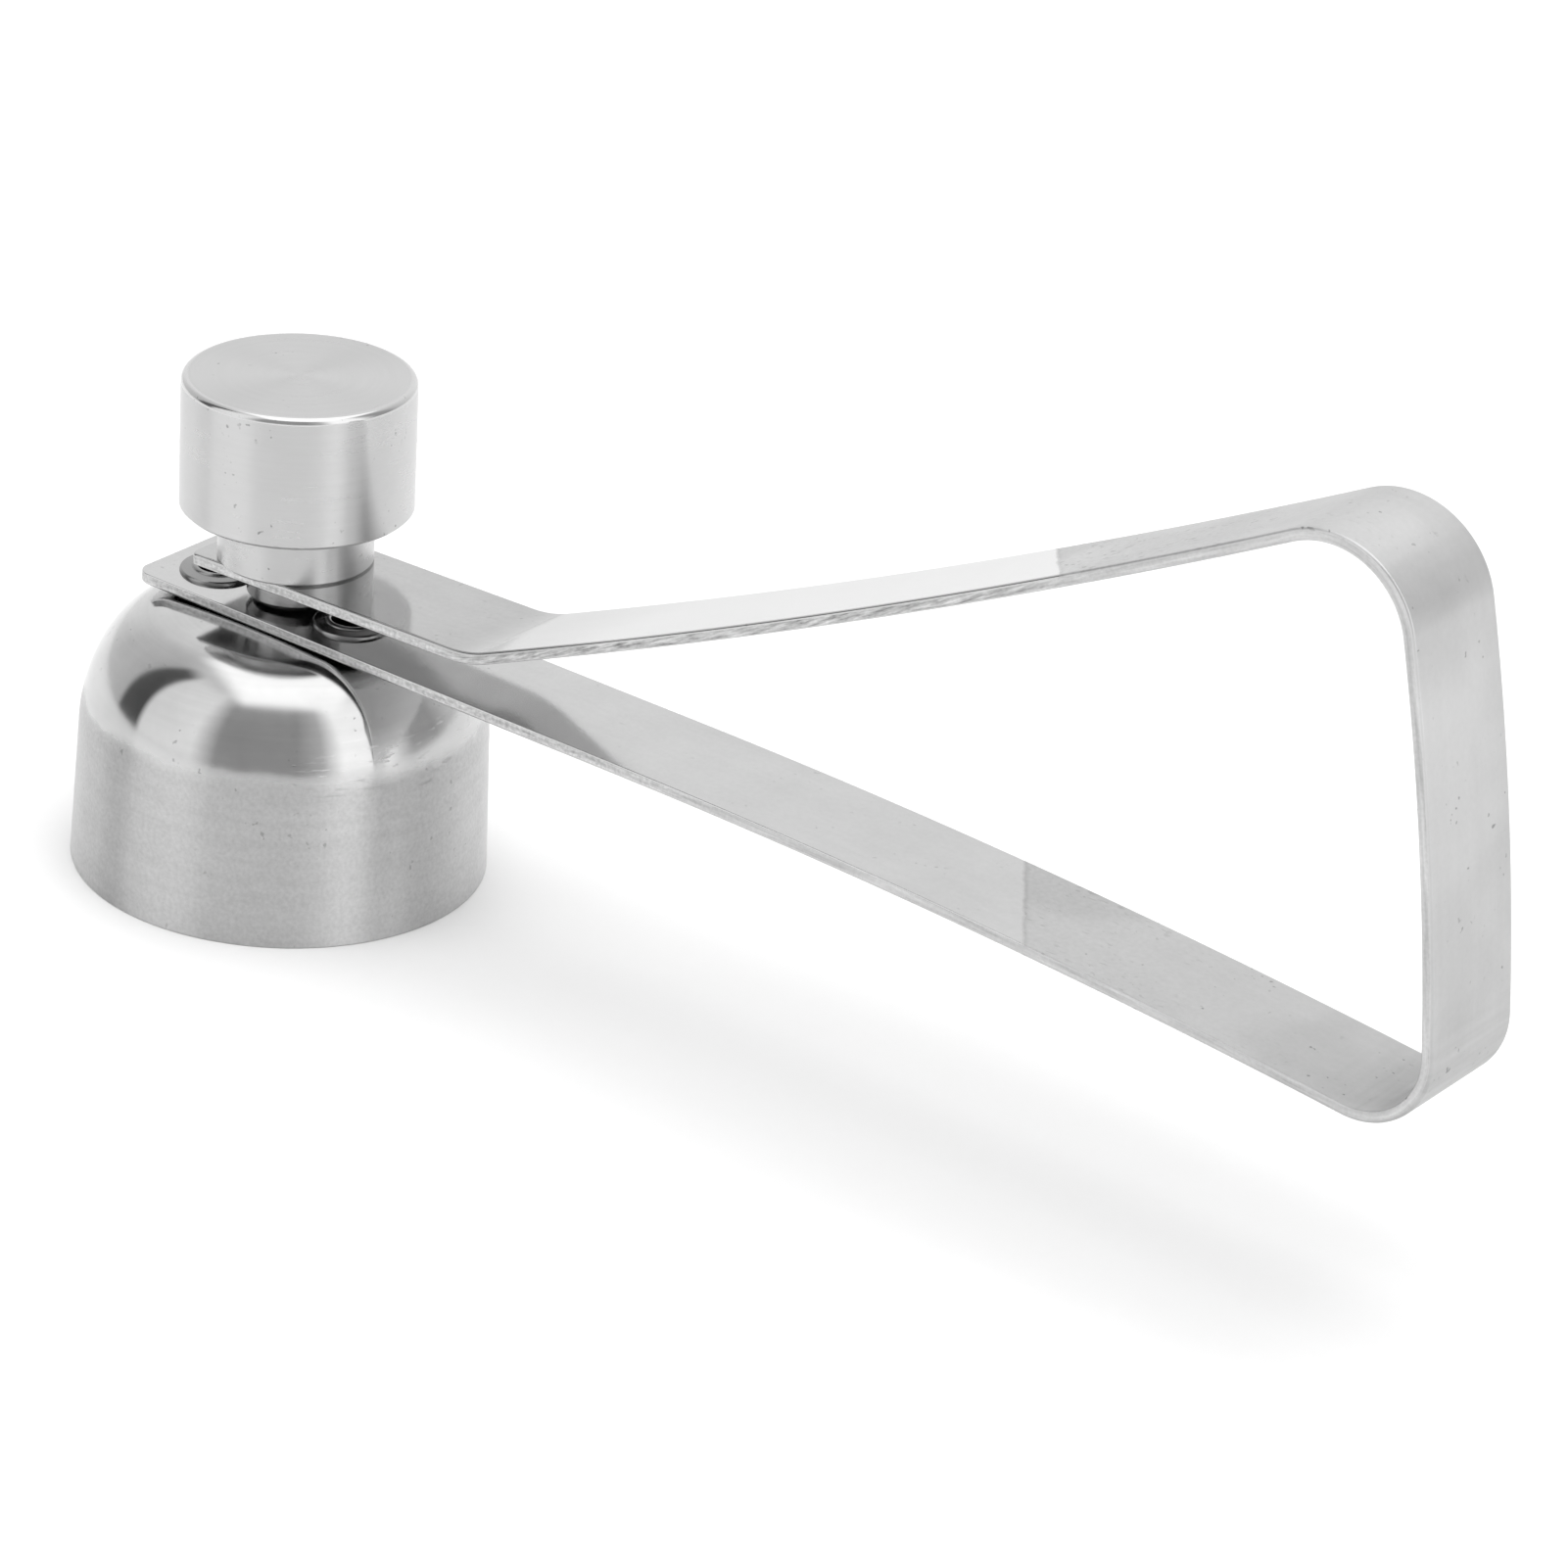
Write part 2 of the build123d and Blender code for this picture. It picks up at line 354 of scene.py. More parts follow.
def bell_outside_steel():
    """Polished on the dome, brushed round and round on the wall, with a worn edge between."""
    material, s = new_material("bell_outside_steel")
    place = s.body_place()
    x, _, height = s.split(place)
    clouds = s.noise(place, 120.0, 4.0, 0.6)
    ragged = add(s, height, around_zero(s, s.noise(place, 420.0, 3.0), 0.8 * MM))
    brushed = s.smooth(ragged, POLISH_FROM, BRUSHED_BELOW)
    scratch = scratch_lines(s, 900.0)
    pit = pits(s, place, 1900.0, 0.12)
    speckle = times(s, around_zero(s, s.noise(place, 3000.0, 2.0), 0.10), brushed)
    scuff = worn_scuffs(s, x, height)

    # The brushed wall is given a lighter colour than the polished dome: painted light, making up for the
    # shadowed floor beside the bell that the wall mirrors.
    colour = s.mix(brushed, 0.545, 0.61)
    colour = add(s, colour, around_zero(s, clouds, 0.10), around_zero(s, scratch, 0.05), speckle)
    colour = add_share(s, colour, scuff, 0.12)
    colour = darkened(s, colour, pit, 0.3)
    roughness = add(s, s.mix(brushed, 0.10, 0.42), around_zero(s, clouds, 0.05))
    roughness = add_share(s, roughness, scuff, 0.25)
    waves = s.bump(s.noise(place, 500.0, 2.0), 4e-7)
    normal = s.bump(pit, PIT_DEPTH, s.bump(times(s, scratch, brushed), 1e-6, waves))
    steel_surface(s, colour, roughness, normal, 1.0)
    return material


def spring_strip_steel():
    """Cold rolled spring strip: bright near the bell, duller and pitted past a slanted line, and marked by
    the bending tool at its two tight corners. Painted shade darkens the upper strip over the bell, and
    painted light lightens the dull finish higher up and along the end side and heel."""
    material, s = new_material("spring_strip_steel")
    place = s.body_place()
    x, y, z = s.split(place)
    run = s.split(s.map_place())[0]

    # where each finish lies, and where light and shade are painted on
    slanted = s.math("MULTIPLY_ADD", y, DULL_SLANT, x)
    slanted = add(s, slanted, around_zero(s, s.noise(place, 500.0, 2.0), 0.35 * MM))
    dull = s.smooth(slanted, DULL_FROM, DULL_FROM + 0.5 * MM)
    seam = times(s, dull, s.smooth(slanted, DULL_FROM + 0.9 * MM, DULL_FROM + 0.3 * MM))
    toe = within(s, run, *TOE_MARKS)
    heel = within(s, run, *HEEL_MARKS)
    painted_light_stretch = within(s, run, *PAINTED_LIGHT_STRETCH)
    # painted light: the dull finish higher up the strip
    painted_light_higher_up = times(s, dull, s.smooth(z, 25 * MM, 40 * MM))
    # painted shade: where the upper strip lies over the bell
    painted_shade_over_bell = times(s, s.smooth(x, 40 * MM, 28 * MM), s.smooth(z, 26 * MM, 27 * MM))
    rough_patch = times(s, dull, s.smooth(slanted, DULL_FROM + ROUGH_PATCH_LENGTH, DULL_FROM))
    rough_patch = times(s, rough_patch, s.smooth(z, 30 * MM, 45 * MM, 0.45, 1.0))

    # the marks on them
    clouds = s.noise(place, 140.0, 4.0, 0.6)
    smudge = s.smooth(s.noise(place, 62.0, 2.0), 0.48, 0.62)
    grain = s.noise(place, 2200.0, 2.0)
    scratch = scratch_lines(s, 700.0)
    crossing = s.noise(s.vector(times(s, run, 900.0), times(s, y, 60.0)), 1.0, 3.0)
    tool_marks = times(s, around_zero(s, crossing, 0.12), add_share(s, toe, heel, 0.25))
    nick = s.smooth(s.noise(s.vector(times(s, run, 0.45), y), 2300.0, 1.0), 0.60, 0.68)
    nick = times(s, nick, s.smooth(s.noise(place, 300.0, 2.0), 0.46, 0.62))
    pit = times(s, pits(s, place, 1700.0, 0.13), s.mix(dull, 0.35, 1.0))
    pit = s.math("MAXIMUM", pit, times(s, nick, rough_patch))

    shade = s.mix(dull, 0.555, 0.535)
    # Painted shade: the upper strip is darker over the bell, most towards its bend, standing in for the
    # dark things it mirrors there.
    shade = add(s, shade, times(s, painted_shade_over_bell, s.smooth(x, 12 * MM, 26 * MM, -0.06, -0.09)))
    # Painted light: the dull finish is made lighter higher up the strip.
    shade = add_share(s, shade, painted_light_higher_up, 0.03)
    shade = add_share(s, shade, seam, -0.07)
    # Painted light: the strip is lighter along its end side and heel.
    shade = add_share(s, shade, painted_light_stretch, 0.07)
    # Darker all over at the toe.
    shade = add_share(s, shade, toe, -0.08)
    shade = add_share(s, shade, times(s, smudge, dull), -0.05)
    colour = add(s, shade, around_zero(s, clouds, 0.05), around_zero(s, scratch, 0.02), tool_marks)
    colour = add(s, colour, around_zero(s, grain, 0.02), times(s, around_zero(s, grain, 0.08), rough_patch))
    colour = darkened(s, colour, pit, 0.45)
    roughness = add(s, s.mix(dull, 0.11, 0.40), around_zero(s, clouds, 0.06))
    roughness = add_share(s, roughness, add(s, toe, heel), 0.06)
    waves = s.bump(s.noise(place, 90.0, 1.0), 5e-6)
    normal = s.bump(pit, PIT_DEPTH, s.bump(scratch, 4e-7, waves))
    steel_surface(s, colour, roughness, normal)
    return material


def sheared_edge_steel():
    """The strip's sheared edges: specked where the strip is flat at either end, torn in long slanted
    lines along the upper arm, and finely streaked elsewhere."""
    material, s = new_material("sheared_edge_steel")
    along, across, _ = s.split(s.map_place())
    first_flat = s.smooth(along, CROWN_LENGTH + 16 * MM, CROWN_LENGTH - 4 * MM)
    last_flat = s.smooth(along, FREE_END_FROM - 2 * MM, FREE_END_FROM + 3 * MM)
    flat = s.math("MAXIMUM", first_flat, last_flat)
    torn = s.smooth(along, TORN_FROM, TORN_FROM + 20 * MM)
    torn = times(s, torn, s.math("SUBTRACT", 1.0, last_flat))
    slant = s.vector(times(s, along, 0.12), s.math("MULTIPLY_ADD", along, 0.10, across))
    tears = around_zero(s, s.noise(slant, 3600.0, 3.0, 0.65), 1.0)
    streaks = around_zero(s, scratch_lines(s, 2600.0), 1.0)
    specks = s.noise(s.body_place(), 3000.0, 2.0)

    colour = add_share(s, 0.51, torn, -0.07)
    colour = add_share(s, colour, tears, s.mix(torn, s.mix(flat, 0.06, 0.18), 0.62))
    colour = add_share(s, colour, streaks, s.mix(torn, 0.26, 0.10))
    colour = add_share(s, colour, around_zero(s, specks, 1.0), s.mix(flat, 0.08, 0.30))
    roughness = add_share(s, 0.34, tears, 0.10)
    normal = s.bump(times(s, specks, flat), 6e-6, s.bump(tears, 5e-6, s.bump(streaks, 4e-6)))
    steel_surface(s, colour, roughness, normal, 0.3)
    return material


# ---------------------------------------------------------------- mesh helpers


def sharpen(mesh):
    """Smooth shading, with every tight edge kept sharp."""
    mesh.shade_smooth()
    mesh.set_sharp_from_angle(angle=radians(SHARP_ANGLE))


def place_mesh(name, made):
    """Turns a bmesh into an object in the scene."""
    mesh = bpy.data.meshes.new(name)
    made.to_mesh(mesh)
    made.free()
    piece = bpy.data.objects.new(name, mesh)
    bpy.context.scene.collection.objects.link(piece)
    return piece


def finish_mesh(name, made, materials):
    """Turns a bmesh into a smooth shaded object with its edges kept sharp."""
    piece = place_mesh(name, made)
    for material in materials:
        piece.data.materials.append(material)
    sharpen(piece.data)
    return piece


def arc(centre_r, centre_z, radius_r, radius_z, start, end, steps):
    """Points on an elliptical arc, angles in degrees from +r towards +z."""
    turns = [radians(start + (end - start) * i / steps) for i in range(steps + 1)]
    return [(centre_r + radius_r * cos(t), centre_z + radius_z * sin(t)) for t in turns]


def line(start, end):
    """A straight run with a support point just inside each end, so that it stays flat shaded."""
    length = Vector((end[0] - start[0], end[1] - start[1])).length
    if length < 4 * SUPPORT:
        return [start, end]
    share = SUPPORT / length
    inner = [tuple(a + (b - a) * t for a, b in zip(start, end)) for t in (share, 1 - share)]
    return [start, *inner, end]


def join_runs(runs):
    """A profile's runs as one line: its points, each stretch's material index, and each point's
    distance along the line. A point that repeats the one before it is left out."""
    points, slots, distances = [], [], [0.0]
    for run, slot in runs:
        for point in run:
            if points:
                length = (Vector(point) - Vector(points[-1])).length
                if length < WELD:
                    continue
                slots.append(slot)
                distances.append(distances[-1] + length)
            points.append(point)
    return points, slots, distances


def round_ring(radius, turn):
    """A round ring has its profile's radius all the way round."""
    return radius


def revolve(name, runs, materials, seat, ring_radius=round_ring, segments=ROUND_SEGMENTS):
    """Turns a profile round the seat's axis. runs is a list of (points, material index), each point
    (radius, height). ring_radius gives a point's radius at a turn, for rings that aren't round."""
    points, slots, distances = join_runs(runs)
    made = bmesh.new()
    surface = made.loops.layers.uv.new(MAP_NAME)
    rings = []
    for radius, height in points:
        if radius < WELD:
            rings.append([made.verts.new(seat @ Vector((0, 0, height)))])
            continue
        ring = []
        for step in range(segments):
            turn = 2 * pi * step / segments
            reach = ring_radius(radius, turn)
            ring.append(made.verts.new(seat @ Vector((reach * cos(turn), reach * sin(turn), height))))
        rings.append(ring)
    for index, slot in enumerate(slots):
        low, high = rings[index], rings[index + 1]
        reach = max(points[index][0], points[index + 1][0])
        for step in range(segments):
            corners = [(low, step, 0), (low, step + 1, 0), (high, step + 1, 1), (high, step, 1)]
            if len(low) == 1:
                corners = [(low, step + 0.5, 0), (high, step + 1, 1), (high, step, 1)]
            if len(high) == 1:
                corners = [(low, step, 0), (low, step + 1, 0), (high, step + 0.5, 1)]
            face = made.faces.new([ring[int(at) % len(ring)] for ring, at, _ in corners])
            face.material_index = slot
            for loop, (_, at, side) in zip(face.loops, corners):
                loop[surface].uv = (2 * pi * reach * at / segments, distances[index + side])
    bmesh.ops.remove_doubles(made, verts=made.verts, dist=WELD)
    made.normal_update()
    return finish_mesh(name, made, materials)


def cut_holes(piece, centres, direction, radius, depth):
    """Cuts equal round holes through a piece, one at each centre."""
    turn = Vector(direction).to_track_quat("Z", "Y").to_matrix().to_4x4()
    for centre in centres:
        made = bmesh.new()
        bmesh.ops.create_cone(
            made, cap_ends=True, segments=HOLE_SEGMENTS, radius1=radius, radius2=radius, depth=depth
        )
        cutter = place_mesh("cutter", made)
        cutter.matrix_world = Matrix.Translation(centre) @ turn
        hole = piece.modifiers.new("hole", "BOOLEAN")
        hole.operation = "DIFFERENCE"
        hole.solver = "EXACT"
        hole.object = cutter
        bpy.context.view_layer.update()
        evaluated = piece.evaluated_get(bpy.context.evaluated_depsgraph_get())
        cut = bpy.data.meshes.new_from_object(evaluated)
        piece.modifiers.clear()
        uncut = piece.data
        piece.data = cut
        bpy.data.meshes.remove(uncut)
        bpy.data.meshes.remove(cutter.data)
    sharpen(piece.data)


# ---------------------------------------------------------------- strip helpers


def straight(length):
    """A straight run of the strip, as (length, radius, turn)."""
    return length, 0.0, 0.0


def bend(radius, turn):
    """A bent run of the strip, as (length, radius, turn)."""
    return radius * radians(abs(turn)), radius, turn


def walk(start, heading, runs):
    """Stations along the strip's centreline: (point, heading, distance from the first one)."""
    x, z = start
    stations = [((x, z), heading, 0.0)]
    total = 0.0
    for length, radius, turn in runs:
        steps = max(1, round(abs(turn) / BEND_STEP), round(length / STRIP_STEP))
        for _ in range(steps):
            middle = radians(heading + turn / steps / 2)
            chord = length / steps
            if turn:
                chord = 2 * radius * sin(radians(abs(turn)) / steps / 2)
            x += chord * cos(middle)
            z += chord * sin(middle)
            heading += turn / steps
            total += length / steps
            stations.append(((x, z), heading, total))
    return stations


def strip_section(half_width):
    """The strip's cross-section as (across, up). The blanking left its inner edges sharp and rolled
    its outer edges over. A support point each side of an edge keeps the faces flat shaded."""
    half_height = STRIP_THICKNESS / 2
    points = []
    for side_y, side_z, start in ((1, 1, 0), (-1, 1, 90), (-1, -1, 180), (1, -1, 270)):
        edge = BURR_EDGE if side_z > 0 else ROLLED_EDGE
        centre = Vector((side_y * (half_width - edge), side_z * (half_height - edge)))
        corner = []
        for step in range(EDGE_STEPS + 1):
            turn = radians(start + 90 * step / EDGE_STEPS)
            corner.append(centre + edge * Vector((cos(turn), sin(turn))))
        before = Vector((sin(radians(start)), -cos(radians(start))))
        after = Vector((-sin(radians(start + 90)), cos(radians(start + 90))))
        points += [corner[0] + SUPPORT * before, *corner, corner[-1] + SUPPORT * after]
    return points


def end_half_width(distance, corner):
    """The strip's half width at a distance from an end with rounded corners."""
    if distance >= corner:
        return STRIP_HALF_WIDTH
    return STRIP_HALF_WIDTH - corner + sqrt(max(0.0, corner**2 - (corner - distance) ** 2))


def refine_end(stations, end, inward, corner):
    """Puts close stations along a rounded corner at one end of the strip, in place of those there."""
    (x, z), heading, distance = end
    along = radians(heading)
    close = []
    for step in range(1, CORNER_STEPS):
        move = inward * corner * (1 - cos(radians(90 * step / CORNER_STEPS)))
        close.append(((x + move * cos(along), z + move * sin(along)), heading, distance + move))
    kept = [station for station in stations if not 0 < abs(station[2] - distance) <= corner * 1.05]
    return sorted(kept + close, key=lambda station: station[2])


def sweep_strip(name, stations, materials, round_start=0.0, round_end=0.0, offset=0.0):
    """Sweeps the strip's section along stations. Its map runs along the strip from offset, in metres,
    and its sheared sides and ends take the second material."""
    first, last = stations[0], stations[-1]
    if round_start:
        stations = refine_end(stations, first, 1, round_start)
    if round_end:
        stations = refine_end(stations, last, -1, round_end)
    made = bmesh.new()
    surface = made.loops.layers.uv.new(MAP_NAME)
    rings = []
    for (x, z), heading, distance in stations:
        half = min(end_half_width(distance, round_start), end_half_width(last[2] - distance, round_end))
        up = Vector((-sin(radians(heading)), 0, cos(radians(heading))))
        section = strip_section(half)
        ring = [made.verts.new(Vector((x, across, z)) + up * rise) for across, rise in section]
        rings.append((ring, distance))
    section = strip_section(STRIP_HALF_WIDTH)
    count = len(section)
    around = [0.0]
    for here, there in zip(section, section[1:] + section[:1]):
        around.append(around[-1] + (there - here).length)
    sheared = (count - 1, count // 2 - 1)
    for (low, low_at), (high, high_at) in zip(rings, rings[1:]):
        for step in range(count):
            after = (step + 1) % count
            face = made.faces.new((low[step], high[step], high[after], low[after]))
            face.material_index = 1 if step in sheared else 0
            places = (
                (low_at, around[step]),
                (high_at, around[step]),
                (high_at, around[step + 1]),
                (low_at, around[step + 1]),
            )
            for loop, (run, turn) in zip(face.loops, places):
                loop[surface].uv = (run + offset, turn)
    for ring, _ in (rings[0], rings[-1]):
        made.faces.new(ring).material_index = 1
    bmesh.ops.recalc_face_normals(made, faces=made.faces)
    return finish_mesh(name, made, materials)


# ---------------------------------------------------------------- bell

outside_steel = bell_outside_steel()
inside_steel = brushed_steel("bell_inside_steel", 0.50, 0.40, 0.5, 700.0, 1e-6)

dome_reach = WALL_TOP_RADIUS - CROWN_RADIUS
crown_edge = CROWN_RADIUS + dome_reach * cos(radians(DOME_END))
crown_slope = (CROWN_HEIGHT - WALL_HEIGHT) / dome_reach / tan(radians(DOME_END))
crown_drop = crown_slope * crown_edge / 2
dome_height = (CROWN_HEIGHT - crown_drop - WALL_HEIGHT) / sin(radians(DOME_END))
inner_rim = RIM_RADIUS - BELL_WALL
bevel_top = (inner_rim - BEVEL_TAPER, RIM_BEVEL)
bevel_foot = (inner_rim + RIM_BEVEL, 0)
rim_out = RIM_RADIUS - RIM_EDGE


def crown_point(share):
    """A point on the outside of the crown, at a share of the way from its middle to its edge."""
    return crown_edge * share, CROWN_HEIGHT - crown_drop * share**2


under_crown = line((0, CROWN_UNDERSIDE), (CROWN_RADIUS, CROWN_UNDERSIDE))
dome_inside = arc(
    CROWN_RADIUS, WALL_HEIGHT, dome_reach - BELL_WALL, CROWN_UNDERSIDE - WALL_HEIGHT, 90, 0, 40
)
wall_inside = line((WALL_TOP_RADIUS - BELL_WALL, WALL_HEIGHT), bevel_top)
rim_edge = arc(rim_out, RIM_EDGE, RIM_EDGE, RIM_EDGE, 270, 360, 5)
wall_outside = line((RIM_RADIUS, RIM_EDGE), (WALL_TOP_RADIUS, WALL_HEIGHT))
dome_outside = arc(CROWN_RADIUS, WALL_HEIGHT, dome_reach, dome_height, 0, DOME_END, DOME_STEPS)
over_crown = [crown_point(1 - step / CROWN_STEPS) for step in range(CROWN_STEPS + 1)]
bell = revolve(
    "egg_bell",
    [
        (under_crown, 1),
        (dome_inside, 1),
        (wall_inside, 1),
        (line(bevel_top, bevel_foot), 1),
        (line(bevel_foot, (rim_out, 0)), 0),
        (rim_edge, 0),
        (wall_outside, 0),
        (dome_outside, 0),
        (over_crown, 0),
    ],
    [outside_steel, inside_steel],
    seat=Matrix.Identity(4),
)
crown_holes = [(x, RIVET_Y, CROWN_HEIGHT - BELL_WALL / 2) for x in RIVET_XS]
cut_holes(bell, crown_holes, (0, 0, 1), RIVET_HOLE_RADIUS, 2 * BELL_WALL)
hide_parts("bell")
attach(bell, "base")

# ---------------------------------------------------------------- spring strip

strip_steels = [spring_strip_steel(), sheared_edge_steel()]

handle_runs = [
    straight(CROWN_LENGTH),
    bend(LOWER_ARM_RADIUS, LOWER_ARM_TURN),
    bend(TOE_RADIUS, TOE_TURN),
    bend(END_SIDE_RADIUS, END_SIDE_TURN),
    bend(HEEL_RADIUS, HEEL_TURN),
]
arm_runs = [
    bend(UPPER_ARM_RADIUS, UPPER_ARM_TURN),
    bend(DROP_RADIUS, DROP_TURN),
    straight(FREE_LENGTH),
]
handle_stations = walk((handle_low.x, STRIP_MIDDLE), 0.0, handle_runs)
handle_end, handle_heading, handle_length = handle_stations[-1]
arm_stations = walk(handle_end, handle_heading, arm_runs)
free_end, free_heading, _ = arm_stations[-1]

strip_handle = sweep_strip(
    "spring_strip_handle", handle_stations, strip_steels, round_start=CROWN_END_CORNER
)
strip_holes = [(x, RIVET_Y, STRIP_MIDDLE) for x in RIVET_XS]
cut_holes(strip_handle, strip_holes, (0, 0, 1), RIVET_HOLE_RADIUS, 2 * STRIP_THICKNESS)
strip_arm = sweep_strip(
    "spring_strip_arm", arm_stations, strip_steels, round_end=FREE_END_CORNER, offset=handle_length
)

# The striker stands square on the free end, which the strip's turns leave upside down.
free_run = Vector((cos(radians(free_heading)), 0, sin(radians(free_heading))))
striker_up = Vector((sin(radians(free_heading)), 0, -cos(radians(free_heading))))
striker_middle = Vector((free_end[0], 0, free_end[1])) - free_run * STRIKER_FROM_END
cut_holes(strip_arm, [striker_middle], striker_up, BORE_RADIUS, 2 * STRIP_THICKNESS)


def seat_at(height):
    """The striker's own axes, with their origin at a height above the strip's middle."""
    across = Vector((0, 1, 0))
    forward = across.cross(striker_up)
    axes = Matrix((forward, across, striker_up)).transposed().to_4x4()
    return Matrix.Translation(striker_middle + striker_up * height) @ axes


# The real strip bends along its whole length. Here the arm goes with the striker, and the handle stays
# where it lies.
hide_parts("strip_lower")
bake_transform(strip_handle)
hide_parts("strip_upper")
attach(strip_arm, "striker")

# ---------------------------------------------------------------- striker weight

knob_steels = [
    brushed_steel("turned_knob_steel", 0.60, 0.29, 1.0, 1500.0, 5e-7, cloud=0.025),
    brushed_steel("faced_knob_top_steel", 0.555, 0.30, 0.8, 1600.0, 5e-7, cloud=0.02, pit_share=0.0),
    brushed_steel("turned_underside_steel", 0.55, 0.18, 0.5, 900.0, 1e-6),
    polished_steel("knob_rim_steel", 0.60, 0.14),
]
neck_foot = (NECK_RADIUS - NECK_CHAMFER, 0)
neck_side = (NECK_RADIUS, NECK_CHAMFER)
neck_top = (NECK_RADIUS, NECK_HEIGHT)
knob_foot = (KNOB_RADIUS - KNOB_FOOT_CHAMFER, NECK_HEIGHT)
knob_side = (KNOB_RADIUS, NECK_HEIGHT + KNOB_FOOT_CHAMFER)
knob_shoulder = KNOB_TOP - KNOB_TOP_ROUND
knob_face = KNOB_RADIUS - KNOB_TOP_ROUND
weight = revolve(
    "striker_knob",
    [
        (line((0, TAPPED_DEPTH), (BORE_RADIUS, TAPPED_DEPTH)), 2),
        (line((BORE_RADIUS, TAPPED_DEPTH), (BORE_RADIUS, 0)), 2),
        (line((BORE_RADIUS, 0), neck_foot), 2),
        (line(neck_foot, neck_side), 0),
        (line(neck_side, neck_top), 0),
        (line(neck_top, knob_foot), 2),
        (line(knob_foot, knob_side), 0),
        (line(knob_side, (KNOB_RADIUS, knob_shoulder)), 0),
        (arc(knob_face, knob_shoulder, KNOB_TOP_ROUND, KNOB_TOP_ROUND, 0, 90, 10), 3),
        (line((knob_face, KNOB_TOP), (0, KNOB_TOP)), 1),
    ],
    knob_steels,
    seat=seat_at(STRIP_THICKNESS / 2),
)
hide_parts("striker_weight")
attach(weight, "striker")

# ---------------------------------------------------------------- striker screw


def socket_ring(radius, turn):
    """The socket's own rings follow a hexagon, and every other ring is round."""
    if abs(radius - SOCKET_REACH) > WELD:
        return radius
    sixth = pi / 3
    return radius / cos((turn + sixth / 2) % sixth - sixth / 2)


# The socket's runs have no support points, because a ring off the socket's radius would be round.
foot_face = (FOOT_RADIUS - FOOT_CHAMFER, 0)
foot_side = (FOOT_RADIUS, FOOT_CHAMFER)
foot_top = (FOOT_RADIUS, FOOT_HEIGHT)
screw = revolve(
    "striker_foot_screw",
    [
        ([(0, SOCKET_DEPTH), (SOCKET_REACH, SOCKET_DEPTH)], 0),
        ([(SOCKET_REACH, SOCKET_DEPTH), (SOCKET_REACH, 0)], 0),
        ([(SOCKET_REACH, 0), foot_face], 0),
        (line(foot_face, foot_side), 0),
        (line(foot_side, foot_top), 0),
        (line(foot_top, (SHANK_RADIUS, FOOT_HEIGHT)), 0),
        (line((SHANK_RADIUS, FOOT_HEIGHT), (SHANK_RADIUS, SHANK_END)), 0),
        (line((SHANK_RADIUS, SHANK_END), (0, SHANK_END)), 0),
    ],
    [brushed_steel("screw_steel", 0.36, 0.24, 0.6, 1200.0, 5e-7)],
    seat=seat_at(-STRIP_THICKNESS / 2 - FOOT_HEIGHT),
    ring_radius=socket_ring,
)
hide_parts("striker_screw")
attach(screw, "striker")

# ---------------------------------------------------------------- rivets

rivet_steel = polished_steel("drawn_rivet_steel", 0.28, 0.25)

roll_top = CROWN_UNDERSIDE - RIVET_ROLL_DROP
roll_middle = (RIVET_BORE_RADIUS + RIVET_ROLL_RADIUS) / 2
roll_reach = RIVET_ROLL_RADIUS - roll_middle
lip_middle = RIVET_BORE_RADIUS + LIP_RADIUS
lip_height = STRIP_TOP + RIVET_FLANGE_HEIGHT - LIP_RADIUS
flange_middle = RIVET_FLANGE_RADIUS - FLANGE_EDGE_REACH
rolled_end = arc(roll_middle, roll_top, roll_reach, RIVET_FLANGE_HEIGHT, 180, 360, 24)
flange_edge = arc(flange_middle, STRIP_TOP, FLANGE_EDGE_REACH, FLANGE_EDGE_HEIGHT, 0, 90, 8)
flange_lip = arc(lip_middle, lip_height, LIP_RADIUS, LIP_RADIUS, 20, 180, 16)
rivet_runs = [
    (rolled_end, 0),
    (line((RIVET_ROLL_RADIUS, roll_top), (RIVET_SHANK_RADIUS, roll_top)), 0),
    (line((RIVET_SHANK_RADIUS, roll_top), (RIVET_SHANK_RADIUS, STRIP_TOP)), 0),
    (line((RIVET_SHANK_RADIUS, STRIP_TOP), (RIVET_FLANGE_RADIUS, STRIP_TOP)), 0),
    (flange_edge, 0),
    (line(flange_edge[-1], flange_lip[0]), 0),
    (flange_lip, 0),
    (line(flange_lip[-1], (RIVET_BORE_RADIUS, roll_top)), 0),
]
for name, x in zip(("tip_rivet", "arm_rivet"), RIVET_XS):
    rivet = revolve(
        name,
        rivet_runs,
        [rivet_steel],
        seat=Matrix.Translation((x, RIVET_Y, 0)),
        segments=RIVET_SEGMENTS,
    )
    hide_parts("tubular_rivets")
    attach(rivet, "base")

# ---------------------------------------------------------------- studio

CAMERA_AZIMUTH = 35.15
CAMERA_ELEVATION = 26.06
CAMERA_ROLL = 4.67
CAMERA_DISTANCE = 0.525
CAMERA_TARGET = Vector((52.77, 0, 25.34)) * MM
CAMERA_LENS = 149.22
CAMERA_SENSOR = 36.0

# The light tent round the object: (azimuth from +X towards +Y, brightness).
TENT_WALL = [
    (-180, 0.78),
    (-161, 0.68),
    (-157, 0.13),
    (-142, 0.11),
    (-138, 1.15),
    (-103, 1.22),
    (-88, 0.43),
    (-42, 0.41),
    (-28, 0.68),
    (-16, 1.60),
    (11, 1.58),
    (19, 0.95),
    (28, 0.46),
    (44, 0.46),
    (57, 0.76),
    (68, 0.88),
    (100, 1.10),
    (150, 1.05),
    (172, 0.80),
    (180, 0.78),
]
TENT_CEILING = 0.92
CEILING_FROM, CEILING_FULL = 50, 62
TENT_BELOW = 1.0
TENT_BACKDROP = 1.0
